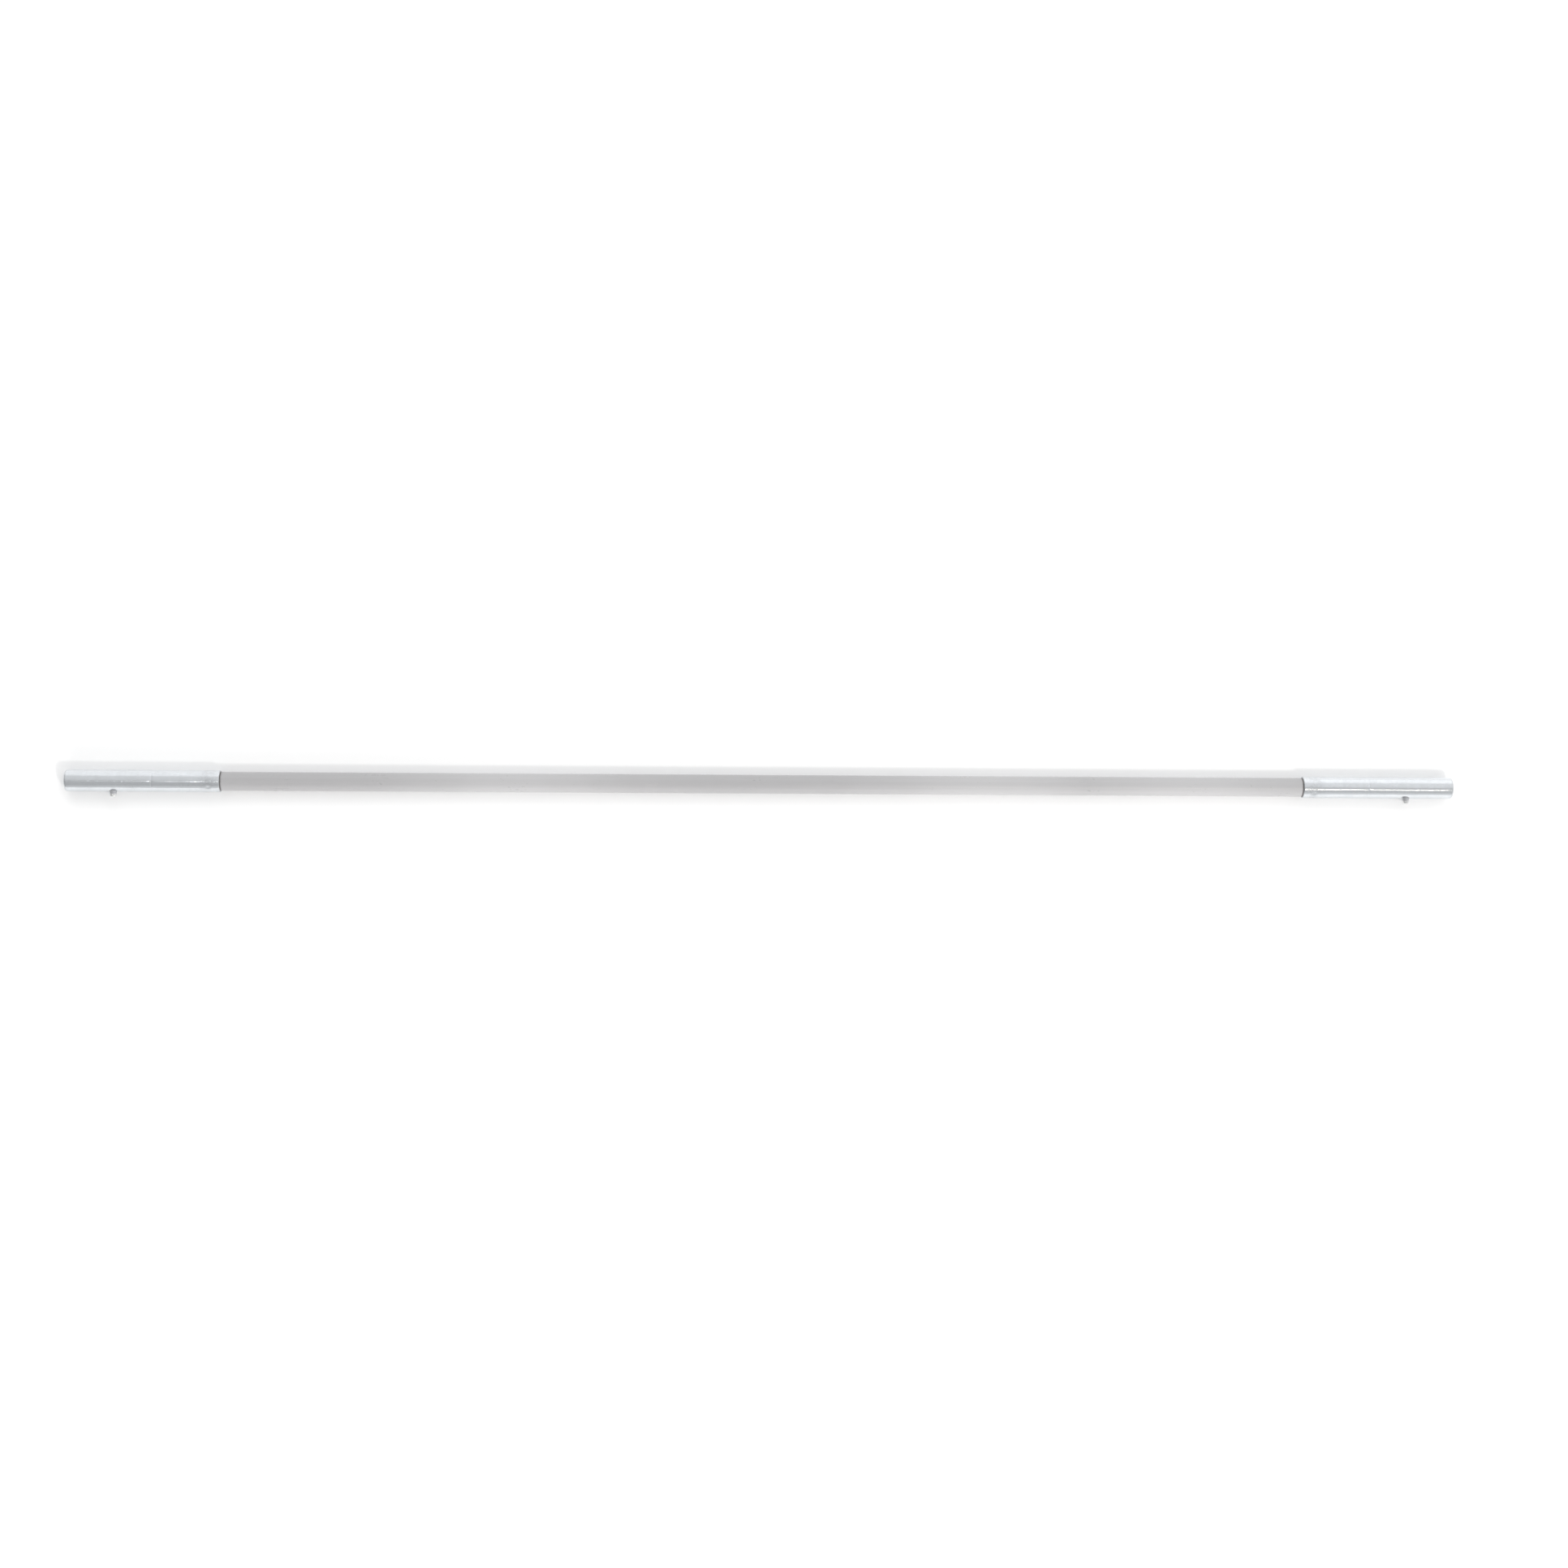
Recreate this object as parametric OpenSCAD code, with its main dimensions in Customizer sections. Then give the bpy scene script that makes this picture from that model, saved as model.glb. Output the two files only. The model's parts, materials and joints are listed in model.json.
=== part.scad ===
// Section of a rigid probe pole: a composite tube with a plated steel ferrule on each end,
// each ferrule holding a sprung snap button that locks into the next section's socket.
// The pole lies along X with its middle at the origin, and both buttons point along -Y.

/* [Pole] */
// Length over both ferrules
total_length = 1000; // [500:10:1500]

/* [Shaft tube] */
// Outside diameter of the tube
shaft_od = 13.5; // [13.2:0.1:15]
// Wall of the tube
shaft_wall = 1.75; // [1.2:0.05:2.5]
// Length of the dowel that backs the tube wall under the crimps
plug_length = 48; // [20:1:80]

/* [Ferrule] */
// Length of each ferrule
ferrule_length = 110; // [105:1:150]
// Wall of the ferrule
ferrule_wall = 1.0; // [0.8:0.05:1.2]
// Radius of the rolled-in nose, on its outside
nose_round = 1.8; // [1.5:0.1:2.2]
// Distance from the nose to the bead that stops the tube
bead_at = 62; // [62:0.5:68]
// Depth of the stop bead, outside
bead_depth = 0.3; // [0.25:0.05:0.6]
// Distance from the nose to the crimp ring
crimp_at = 81.5; // [76:0.5:90]
// Depth of the crimp ring, outside
crimp_depth = 0.12; // [0.1:0.02:0.4]
// Distance from the nose to the punched dents
dents_at = 102; // [96:0.5:104]
// Number of punched dents
dents = 4; // [3:1:6]
// Depth of the punched dents, outside
dent_depth = 0.45; // [0.2:0.05:0.5]

/* [Snap button] */
// Distance from the nose to the middle of the button
button_at = 34; // [32:0.5:34.5]
// How far the button stands out of the ferrule
button_proud = 4.8; // [4:0.1:5.2]
// Diameter of the button's tip, which enters the socket's hole
button_tip_d = 4.9; // [4.6:0.1:4.9]
// Diameter of the button's guide, which slides in the ferrule's hole
button_guide_d = 5.3; // [5.3:0.1:5.7]

/* [Spring clip] */
// Thickness of the spring strip
strip_t = 0.5; // [0.4:0.05:0.6]
// Width of the spring strip
strip_w = 6; // [5:0.5:6]
// Slope of the sprung leg, in degrees
leg_slope = 22; // [22:1:26]

/* [Hidden] */
$fn = 96;

over = 1;               // how far a cutter runs past what it cuts
bond_gap = 0.05;        // glue film between the tube, the ferrule and the dowel
roll_r = 0.9;           // radius of the rolling tool that forms the bead and the ring
punch_r = 6;            // radius of the punch that forms the dents
mouth_round = 0.7;      // rounding of the ferrule's mouth
lip = 0.4;              // flat width of the rolled-in nose
tube_chamfer = 0.3;     // lead on the tube's ends
plug_chamfer = 0.8;     // lead on the dowel's ends
end_play = 0.1;         // gap between the tube's end and the stop bead

pole_end = total_length / 2;
ferrule_or = shaft_od / 2 + bond_gap + ferrule_wall;
ferrule_ir = ferrule_or - ferrule_wall;
nose_hole_r = ferrule_or - nose_round - lip;
mouth_x = pole_end - ferrule_length;

// Half the width of a ring of radius r whose middle lies at height h over a wall.
function chord(r, h) = sqrt(r * r - h * h);

bead_inner_half = chord(roll_r + ferrule_wall, roll_r + ferrule_wall - bead_depth);
tube_end_x = pole_end - bead_at - bead_inner_half - end_play;
tube_ir = shaft_od / 2 - shaft_wall;

// Heights along the button, measured from the pole's axis.
button_x = pole_end - button_at;
button_top = ferrule_or + button_proud;
guide_top = ferrule_or + 0.25;
tip_r = button_tip_d / 2;
guide_r = button_guide_d / 2;
hole_r = guide_r + 0.1;
dome_h = 1.4;
dome_r = (tip_r * tip_r + dome_h * dome_h) / (2 * dome_h);
rest_gap = 0.05;        // gap between a piece and the bore that it lies against
flange_r = 3.6;
flange_t = 0.75;
flange_top = chord(ferrule_ir, flange_r) - rest_gap;
flange_low = flange_top - flange_t;
shank_r = 1.3;
stake_r = 1.9;
stake_t = 0.6;
strip_play = 0.03;      // play between the strip and the button it carries
strip_top = flange_low - strip_play;
strip_low = strip_top - strip_t;
stake_top = strip_low - strip_play;

// The clip's side view: a fixed leg on the far wall, a bend, a sloping leg, a knee and a flat pad.
// Its places along the pole are measured from the button's axis.
bend_r = 1.7 + strip_t / 2;
knee_r = 3;
fixed_mid = rest_gap + strip_t / 2 - chord(ferrule_ir, strip_w / 2);
bend_h = fixed_mid + bend_r;
knee_h = strip_top - strip_t / 2 - knee_r;
slope_length = (knee_h - bend_h + (knee_r - bend_r) * cos(leg_slope)) / sin(leg_slope);
knee_x = -6;
bend_x = knee_x - (knee_r - bend_r) * sin(leg_slope) - slope_length * cos(leg_slope);
leg_end_x = 6;
pad_mid = knee_h + knee_r;
shank_hole_r = shank_r + 0.1;
bend_steps = 24;
knee_steps = 6;

// Turns a profile drawn as [radius, x] about the pole's axis.
module turned() {
    rotate([0, 90, 0])
        rotate_extrude()
            children();
}

// Turns a profile drawn as [radius, height] about the button's axis.
module turned_button() {
    translate([button_x, 0, 0])
        rotate([90, 0, 0])
            rotate_extrude()
                children();
}

// Puts a piece made for the right-hand end on the left-hand end.
module on_left() {
    mirror([1, 0, 0])
        children();
}

// A rectangle from the axis out to radius r, between x0 and x1, whose outer corner at x1 is rounded.
module rounded_block(r, x0, x1, round) {
    translate([0, x0])
        square([r, x1 - x0 - round]);
    translate([0, x0])
        square([r - round, x1 - x0]);
    translate([r - round, x1 - round])
        circle(round);
}

// The rolling tool's track, seen in the profile: its rim reaches `depth` below the ferrule's outside.
module roll_track(from_nose, depth, extra) {
    translate([ferrule_or + roll_r - depth, pole_end - from_nose])
        circle(roll_r + extra);
}

module both_tracks(extra) {
    roll_track(bead_at, bead_depth, extra);
    roll_track(crimp_at, crimp_depth, extra);
}

// The punch's round end at each dent, grown by `extra`; the dents straddle the button's axis.
module punches(extra) {
    for (i = [0 : dents - 1])
        rotate([360 / dents * (i + 0.5), 0, 0])
            translate([pole_end - dents_at, -(ferrule_or + punch_r - dent_depth), 0])
                sphere(punch_r + extra);
}

module ferrule_outside() {
    difference() {
        intersection() {
            rounded_block(ferrule_or, mouth_x, pole_end, nose_round);
            mirror([0, 1])
                rounded_block(ferrule_or, -pole_end, -mouth_x, mouth_round);
        }
        both_tracks(0);
    }
}

module ferrule_inside() {
    difference() {
        rounded_block(ferrule_ir, mouth_x - over, pole_end - ferrule_wall, nose_round - ferrule_wall);
        both_tracks(ferrule_wall);
    }
    translate([0, pole_end - nose_round])
        square([nose_hole_r, nose_round + over]);
}

module button_hole() {
    translate([button_x, 0, 0])
        rotate([90, 0, 0])
            cylinder(r = hole_r, h = ferrule_or + over);
}

module ferrule() {
    color("gainsboro")
        difference() {
            turned()
                ferrule_outside();
            punches(0);
            difference() {
                turned()
                    ferrule_inside();
                punches(ferrule_wall);
            }
            button_hole();
        }
}

// Half of the tube, from the middle of the pole to its right-hand end.
module tube_half_profile() {
    difference() {
        translate([tube_ir, 0])
            square([shaft_wall, tube_end_x]);
        roll_track(crimp_at, crimp_depth, ferrule_wall + bond_gap);
        translate([shaft_od / 2, tube_end_x])
            rotate(45)
                square(tube_chamfer * sqrt(2), center = true);
    }
}

module shaft() {
    color("silver")
        difference() {
            turned() {
                tube_half_profile();
                mirror([0, 1])
                    tube_half_profile();
            }
            punches(ferrule_wall + bond_gap);
            on_left()
                punches(ferrule_wall + bond_gap);
        }
}

module end_plug() {
    plug_r = tube_ir - bond_gap;
    color("ivory")
        turned()
            translate([0, tube_end_x - plug_length])
                polygon([
                    [0, 0],
                    [plug_r - plug_chamfer, 0],
                    [plug_r, plug_chamfer],
                    [plug_r, plug_length - plug_chamfer],
                    [plug_r - plug_chamfer, plug_length],
                    [0, plug_length],
                ]);
}

// A disc of the button, from height h0 to h1.
module button_disc(r, h0, h1) {
    translate([0, h0])
        square([r, h1 - h0]);
}

module button() {
    color("lightsteelblue")
        turned_button() {
            intersection() {
                translate([0, button_top - dome_r])
                    circle(dome_r);
                button_disc(tip_r, button_top - dome_h, button_top);
            }
            button_disc(tip_r, flange_low, button_top - dome_h);
            button_disc(guide_r, flange_low, guide_top);
            button_disc(flange_r, flange_low, flange_top);
            button_disc(shank_r, stake_top, flange_low);
            button_disc(stake_r, stake_top - stake_t, stake_top);
        }
}

// Points along an arc round [x, h], from the direction a0 to the direction a1.
function arc(x, h, r, a0, a1, steps) = [
    for (i = [0 : steps])
        let (a = a0 + (a1 - a0) * i / steps)
        [x + r * cos(a), h + r * sin(a)]
];

// The strip seen from its edge: out along its outer side, and back along its inner side.
module clip_side_view() {
    half = strip_t / 2;
    slope_at = 90 + leg_slope;
    polygon(concat(
        [[leg_end_x, fixed_mid - half]],
        arc(bend_x, bend_h, bend_r + half, 270, slope_at, bend_steps),
        arc(knee_x, knee_h, knee_r + half, slope_at, 90, knee_steps),
        [[leg_end_x, pad_mid + half], [leg_end_x, pad_mid - half]],
        arc(knee_x, knee_h, knee_r - half, 90, slope_at, knee_steps),
        arc(bend_x, bend_h, bend_r - half, slope_at, 270, bend_steps),
        [[leg_end_x, fixed_mid + half]]
    ));
}

// The strip seen from the button's side: both of its legs end in a half circle.
module clip_plan_view() {
    round_x = leg_end_x - strip_w / 2;
    back_x = bend_x - bend_r - strip_t;
    translate([back_x, -strip_w / 2])
        square([round_x - back_x, strip_w]);
    translate([round_x, 0])
        circle(d = strip_w);
}

module spring_clip() {
    color("slategray")
        translate([button_x, 0, 0])
            mirror([0, 1, 0])
                difference() {
                    intersection() {
                        linear_extrude(strip_w + over, center = true)
                            clip_side_view();
                        rotate([90, 0, 0])
                            linear_extrude(2 * ferrule_or, center = true)
                                clip_plan_view();
                    }
                    rotate([-90, 0, 0])
                        cylinder(r = shank_hole_r, h = ferrule_or);
                }
}

shaft();
on_left() ferrule();  // left_ferrule
ferrule();  // right_ferrule
on_left() button();  // left_button
button();  // right_button
on_left() spring_clip();  // left_spring_clip
spring_clip();  // right_spring_clip
on_left() end_plug();  // left_end_plug
end_plug();  // right_end_plug
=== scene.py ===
"""Looks of a probe pole section: a coated tube, two plated ferrules and their sprung snap buttons.

The pole lies along X on a pale floor, with its buttons towards -Y. Every size is in metres, in the
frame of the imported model. The pieces' places and outer sizes come from that model's boxes, mounts and
joints, and their inner sizes are the fields of their classes.
"""

import json
import logging
from dataclasses import dataclass
from enum import Enum
from typing import Any, Optional, Sequence

import bmesh
import bpy
import numpy as np
from mathutils import Euler, Matrix, Vector

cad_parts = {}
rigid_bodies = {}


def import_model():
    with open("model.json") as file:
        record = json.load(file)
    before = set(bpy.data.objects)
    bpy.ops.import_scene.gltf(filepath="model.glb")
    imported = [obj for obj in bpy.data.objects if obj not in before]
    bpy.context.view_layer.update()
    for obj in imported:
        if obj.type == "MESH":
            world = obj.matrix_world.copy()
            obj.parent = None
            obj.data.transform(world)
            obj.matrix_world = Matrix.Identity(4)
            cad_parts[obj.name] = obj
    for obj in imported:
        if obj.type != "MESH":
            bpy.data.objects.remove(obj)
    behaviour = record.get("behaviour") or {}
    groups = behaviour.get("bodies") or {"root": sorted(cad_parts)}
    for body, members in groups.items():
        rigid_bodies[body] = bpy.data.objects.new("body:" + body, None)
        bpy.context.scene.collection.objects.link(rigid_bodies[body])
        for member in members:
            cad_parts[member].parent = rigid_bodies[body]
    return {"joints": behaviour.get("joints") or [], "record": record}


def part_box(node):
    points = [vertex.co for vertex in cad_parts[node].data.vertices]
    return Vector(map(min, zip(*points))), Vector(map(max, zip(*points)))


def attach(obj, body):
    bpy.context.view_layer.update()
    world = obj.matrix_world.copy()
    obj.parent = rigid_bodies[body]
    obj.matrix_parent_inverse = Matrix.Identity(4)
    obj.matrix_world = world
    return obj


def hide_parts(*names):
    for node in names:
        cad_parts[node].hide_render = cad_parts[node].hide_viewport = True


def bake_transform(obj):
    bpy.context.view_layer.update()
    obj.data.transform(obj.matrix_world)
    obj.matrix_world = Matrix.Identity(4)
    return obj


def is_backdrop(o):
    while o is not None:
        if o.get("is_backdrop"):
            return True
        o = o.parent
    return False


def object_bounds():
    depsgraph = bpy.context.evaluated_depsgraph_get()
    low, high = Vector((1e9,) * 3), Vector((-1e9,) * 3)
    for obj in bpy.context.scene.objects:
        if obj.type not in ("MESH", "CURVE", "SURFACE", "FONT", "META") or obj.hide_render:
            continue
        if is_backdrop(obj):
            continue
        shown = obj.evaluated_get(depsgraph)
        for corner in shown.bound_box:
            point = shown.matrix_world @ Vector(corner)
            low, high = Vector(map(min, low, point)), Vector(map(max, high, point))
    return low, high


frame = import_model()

LOG = logging.getLogger("probe_pole")
MM = 0.001
WELD = 1e-7  # points closer than this are one point


class End(Enum):
    """The two ends of the pole, each with its sign along X."""

    LEFT = -1
    RIGHT = 1

    @property
    def word(self) -> str:
        """The end's name in node, body and mount names."""
        return self.name.lower()


# ---------------------------------------------------------------------------------------------
# Surfaces
# ---------------------------------------------------------------------------------------------


@dataclass
class Sheet:
    """Part of a surface: points in space and the four-cornered faces between them."""

    points: np.ndarray
    quads: np.ndarray


def grid_quads(rows: int, cols: int, close_rows: bool = False, close_cols: bool = False) -> np.ndarray:
    """Faces between the neighbours of a grid of points.

    Args:
        rows: Number of rows of points.
        cols: Number of points in each row.
        close_rows: Whether the last row joins the first.
        close_cols: Whether the last point of each row joins its first.

    Returns:
        An array of four point numbers per face, where point (i, j) has the number i * cols + j.
    """
    i, j = np.meshgrid(
        np.arange(rows if close_rows else rows - 1),
        np.arange(cols if close_cols else cols - 1),
        indexing="ij",
    )
    i_next, j_next = (i + 1) % rows, (j + 1) % cols
    corners = [i * cols + j, i_next * cols + j, i_next * cols + j_next, i * cols + j_next]
    return np.stack(corners, axis=-1).reshape(-1, 4)


def sheet_of(grid: np.ndarray, close_rows: bool = False, close_cols: bool = False) -> Sheet:
    """Turns a grid of points, of shape (rows, cols, 3), into a sheet."""
    rows, cols = grid.shape[:2]
    return Sheet(grid.reshape(-1, 3), grid_quads(rows, cols, close_rows, close_cols))


def joined(sheets: Sequence[Sheet]) -> Sheet:
    """Puts several sheets into one, without welding them.

    Args:
        sheets: The sheets.

    Returns:
        One sheet with all their points and faces.
    """
    starts = np.cumsum([0] + [len(s.points) for s in sheets[:-1]])
    points = np.concatenate([s.points for s in sheets])
    return Sheet(points, np.concatenate([s.quads + start for s, start in zip(sheets, starts)]))


def arc(centre: Sequence[float], radius: float, start: float, stop: float, steps: int) -> np.ndarray:
    """Points along an arc: centre + radius * (cos a, sin a), with a in even steps.

    Args:
        centre: The arc's centre in its plane.
        radius: The arc's radius.
        start: Direction of its first point, in degrees.
        stop: Direction of its last point, in degrees.
        steps: Number of steps between them.

    Returns:
        An array of steps + 1 points.
    """
    angle = np.radians(np.linspace(start, stop, steps + 1))
    return np.asarray(centre) + radius * np.stack([np.cos(angle), np.sin(angle)], axis=-1)


def stations(edges: Sequence[float], steps: Sequence[int]) -> np.ndarray:
    """Places from the first edge to the last, with the stated number of even steps in each stretch."""
    parts = [np.linspace(a, b, n, endpoint=False) for a, b, n in zip(edges, edges[1:], steps)]
    return np.concatenate(parts + [[edges[-1]]])


def round_angles(count: int) -> np.ndarray:
    """Even angles round a full circle, in radians, without the last one that repeats the first."""
    return np.linspace(0, 2 * np.pi, count, endpoint=False)


def smooth_bump(distance: np.ndarray, reach: float) -> np.ndarray:
    """A raised cosine: 1 at no distance, falling smoothly to 0 at the reach and beyond."""
    return 0.5 + 0.5 * np.cos(np.pi * np.clip(np.abs(distance) / reach, 0, 1))


def round_pole(along: np.ndarray, level: np.ndarray, turn: np.ndarray) -> np.ndarray:
    """Points in space from the place along X, the radius, and the angle from the buttons' side."""
    spots = np.broadcast_arrays(along, -level * np.cos(turn), level * np.sin(turn))
    return np.stack(spots, axis=-1)


def revolved(profile: np.ndarray, count: int, axis: str, middle: float = 0.0) -> Sheet:
    """Turns a profile about an axis: each point (place, radius) becomes a circle of that radius.

    Args:
        profile: Points (place along the axis, radius).
        count: Number of points round the axis.
        axis: "x" for the pole's axis, or "-y" for a button's axis.
        middle: The axis's own place along X, for a button.

    Returns:
        The surface, whose poles and seams close when its points are welded.
    """
    place, radius = profile[:, :1], profile[:, 1:]
    turn = round_angles(count)[None, :]
    if axis == "x":
        return sheet_of(round_pole(place, radius, turn), close_cols=True)
    spots = np.broadcast_arrays(middle + radius * np.cos(turn), -place, radius * np.sin(turn))
    return sheet_of(np.stack(spots, axis=-1), close_cols=True)


def square_rim(half_u: float, half_v: float, steps: int) -> np.ndarray:
    """Points round a rectangle's rim, from the middle of its +u side towards +v.

    Args:
        half_u: Half its width.
        half_v: Half its height.
        steps: Number of even steps along each side.

    Returns:
        An array of 4 * steps points (u, v).
    """
    even = np.linspace(-1, 1, steps + 1)[:-1]
    full = np.ones(steps)
    u = np.concatenate([full, -even, -full, even]) * half_u
    v = np.concatenate([even, full, -even, -full]) * half_v
    return np.roll(np.stack([u, v], axis=-1), -(steps // 2), axis=0)


def filleted(corners: Sequence[tuple[float, float, float]], steps: int = 4) -> np.ndarray:
    """An outline through corners, each rounded by an arc that touches both of its sides.

    The arc's centre lies on the corner's bisector, at round / sin(half the corner's angle) from it.

    Args:
        corners: Place, radius and rounding of each corner; the first and last ones stay as they are.
        steps: Number of steps in each arc.

    Returns:
        The outline's points (place, radius).
    """
    spots = np.array([corner[:2] for corner in corners])
    parts = [spots[:1]]
    for before, spot, after, (_, _, rounding) in zip(spots, spots[1:], spots[2:], corners[1:]):
        back = (before - spot) / np.linalg.norm(before - spot)
        on = (after - spot) / np.linalg.norm(after - spot)
        half = np.arccos(np.clip(back @ on, -1, 1)) / 2
        bisector = (back + on) / np.linalg.norm(back + on)
        centre = spot + bisector * rounding / np.sin(half)
        first, last = (spot + side * rounding / np.tan(half) - centre for side in (back, on))
        share = np.linspace(0, 1, steps + 1)[:, None]
        ray = (1 - share) * first + share * last
        parts.append(centre + ray * rounding / np.linalg.norm(ray, axis=1, keepdims=True))
    return np.concatenate(parts + [spots[-1:]])


def made_object(name: str, sheet: Sheet, crease_deg: float) -> bpy.types.Object:
    """Makes a Blender object of a surface, with its points welded and its faces outward.

    Args:
        name: The object's name.
        sheet: The surface.
        crease_deg: Edges that turn by more than this many degrees are shaded as creases.

    Returns:
        The object, at the origin, with its place in its mesh.
    """
    mesh = bpy.data.meshes.new(name)
    used, quads = np.unique(sheet.quads, return_inverse=True)
    mesh.from_pydata(sheet.points[used].tolist(), [], quads.reshape(-1, 4).tolist())
    work = bmesh.new()
    work.from_mesh(mesh)
    bmesh.ops.remove_doubles(work, verts=work.verts, dist=WELD)
    bmesh.ops.recalc_face_normals(work, faces=work.faces)
    work.to_mesh(mesh)
    work.free()
    mesh.polygons.foreach_set("use_smooth", np.ones(len(mesh.polygons), dtype=bool))
    mesh.set_sharp_from_angle(angle=np.radians(crease_deg))
    made = bpy.data.objects.new(name, mesh)
    bpy.context.scene.collection.objects.link(made)
    edge_of = np.zeros(len(mesh.loops), dtype=np.int32)
    mesh.loops.foreach_get("edge_index", edge_of)
    unpaired = int(np.sum(np.bincount(edge_of, minlength=len(mesh.edges)) != 2))
    counts = (len(mesh.vertices), len(mesh.polygons), unpaired)
    LOG.info("%s: %d points, %d faces, %d unpaired edges", name, *counts)
    return made


# ---------------------------------------------------------------------------------------------
# Node graphs and the effects that finishes share
# ---------------------------------------------------------------------------------------------


class Graph:
    """Builds a node tree: makes nodes, sets their values and links them."""

    def __init__(self, tree: bpy.types.NodeTree) -> None:
        """Keeps the tree that the graph is built in."""
        self.tree = tree

    def node(self, kind: str, inputs: Optional[dict[Any, Any]] = None, **settings: Any) -> bpy.types.Node:
        """Adds a node.

        Args:
            kind: The node's type.
            inputs: Socket name or number to the output socket that feeds it, or to its value.
            **settings: Properties of the node itself.

        Returns:
            The node.
        """
        made = self.tree.nodes.new(kind)
        for key, value in settings.items():
            setattr(made, key, value)
        for key, value in (inputs or {}).items():
            self.feed(made.inputs[key], value)
        return made

    def feed(self, socket: bpy.types.NodeSocket, value: Any) -> None:
        """Links an output socket to an input, or sets the input's own value.

        Args:
            socket: The input.
            value: An output socket, or the input's own value.
        """
        if isinstance(value, bpy.types.NodeSocket):
            self.tree.links.new(value, socket)
        else:
            socket.default_value = value

    def math(self, operation: str, *values: Any, clamp: bool = False) -> bpy.types.NodeSocket:
        """A Math node's result, from up to three numbers or sockets."""
        made = self.node("ShaderNodeMath", dict(enumerate(values)), operation=operation, use_clamp=clamp)
        return made.outputs[0]

    def ramp(
        self, value: Any, low: Any, high: Any, to_low: Any = 0.0, to_high: Any = 1.0
    ) -> bpy.types.NodeSocket:
        """A smooth step of a value, from to_low at low to to_high at high."""
        inputs = {"Value": value, "From Min": low, "From Max": high, "To Min": to_low, "To Max": to_high}
        return self.node("ShaderNodeMapRange", inputs, interpolation_type="SMOOTHSTEP").outputs[0]

    def mix(self, share: Any, first: Any, second: Any) -> bpy.types.NodeSocket:
        """A colour between two colours, by the share of the second.

        Args:
            share: The share of the second colour, from 0 to 1.
            first: The first colour.
            second: The second colour.

        Returns:
            The mixed colour's socket.
        """
        made = self.node("ShaderNodeMix", data_type="RGBA")
        self.feed(made.inputs["Factor"], share)
        self.feed(made.inputs[6], first)
        self.feed(made.inputs[7], second)
        return made.outputs[2]

    def noise(
        self, vector: Any, scale: Any, detail: float = 3.0, rough: float = 0.55
    ) -> bpy.types.NodeSocket:
        """The value of a noise texture, from 0 to 1."""
        inputs = {"Vector": vector, "Scale": scale, "Detail": detail, "Roughness": rough}
        return self.node("ShaderNodeTexNoise", inputs, noise_dimensions="3D").outputs["Fac"]

    def stretched(self, vector: Any, along: float, across: float) -> bpy.types.NodeSocket:
        """The vector with its X scaled by along, and its Y and Z by across."""
        made = self.node("ShaderNodeMapping", {"Vector": vector, "Scale": (along, across, across)})
        return made.outputs[0]


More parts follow.
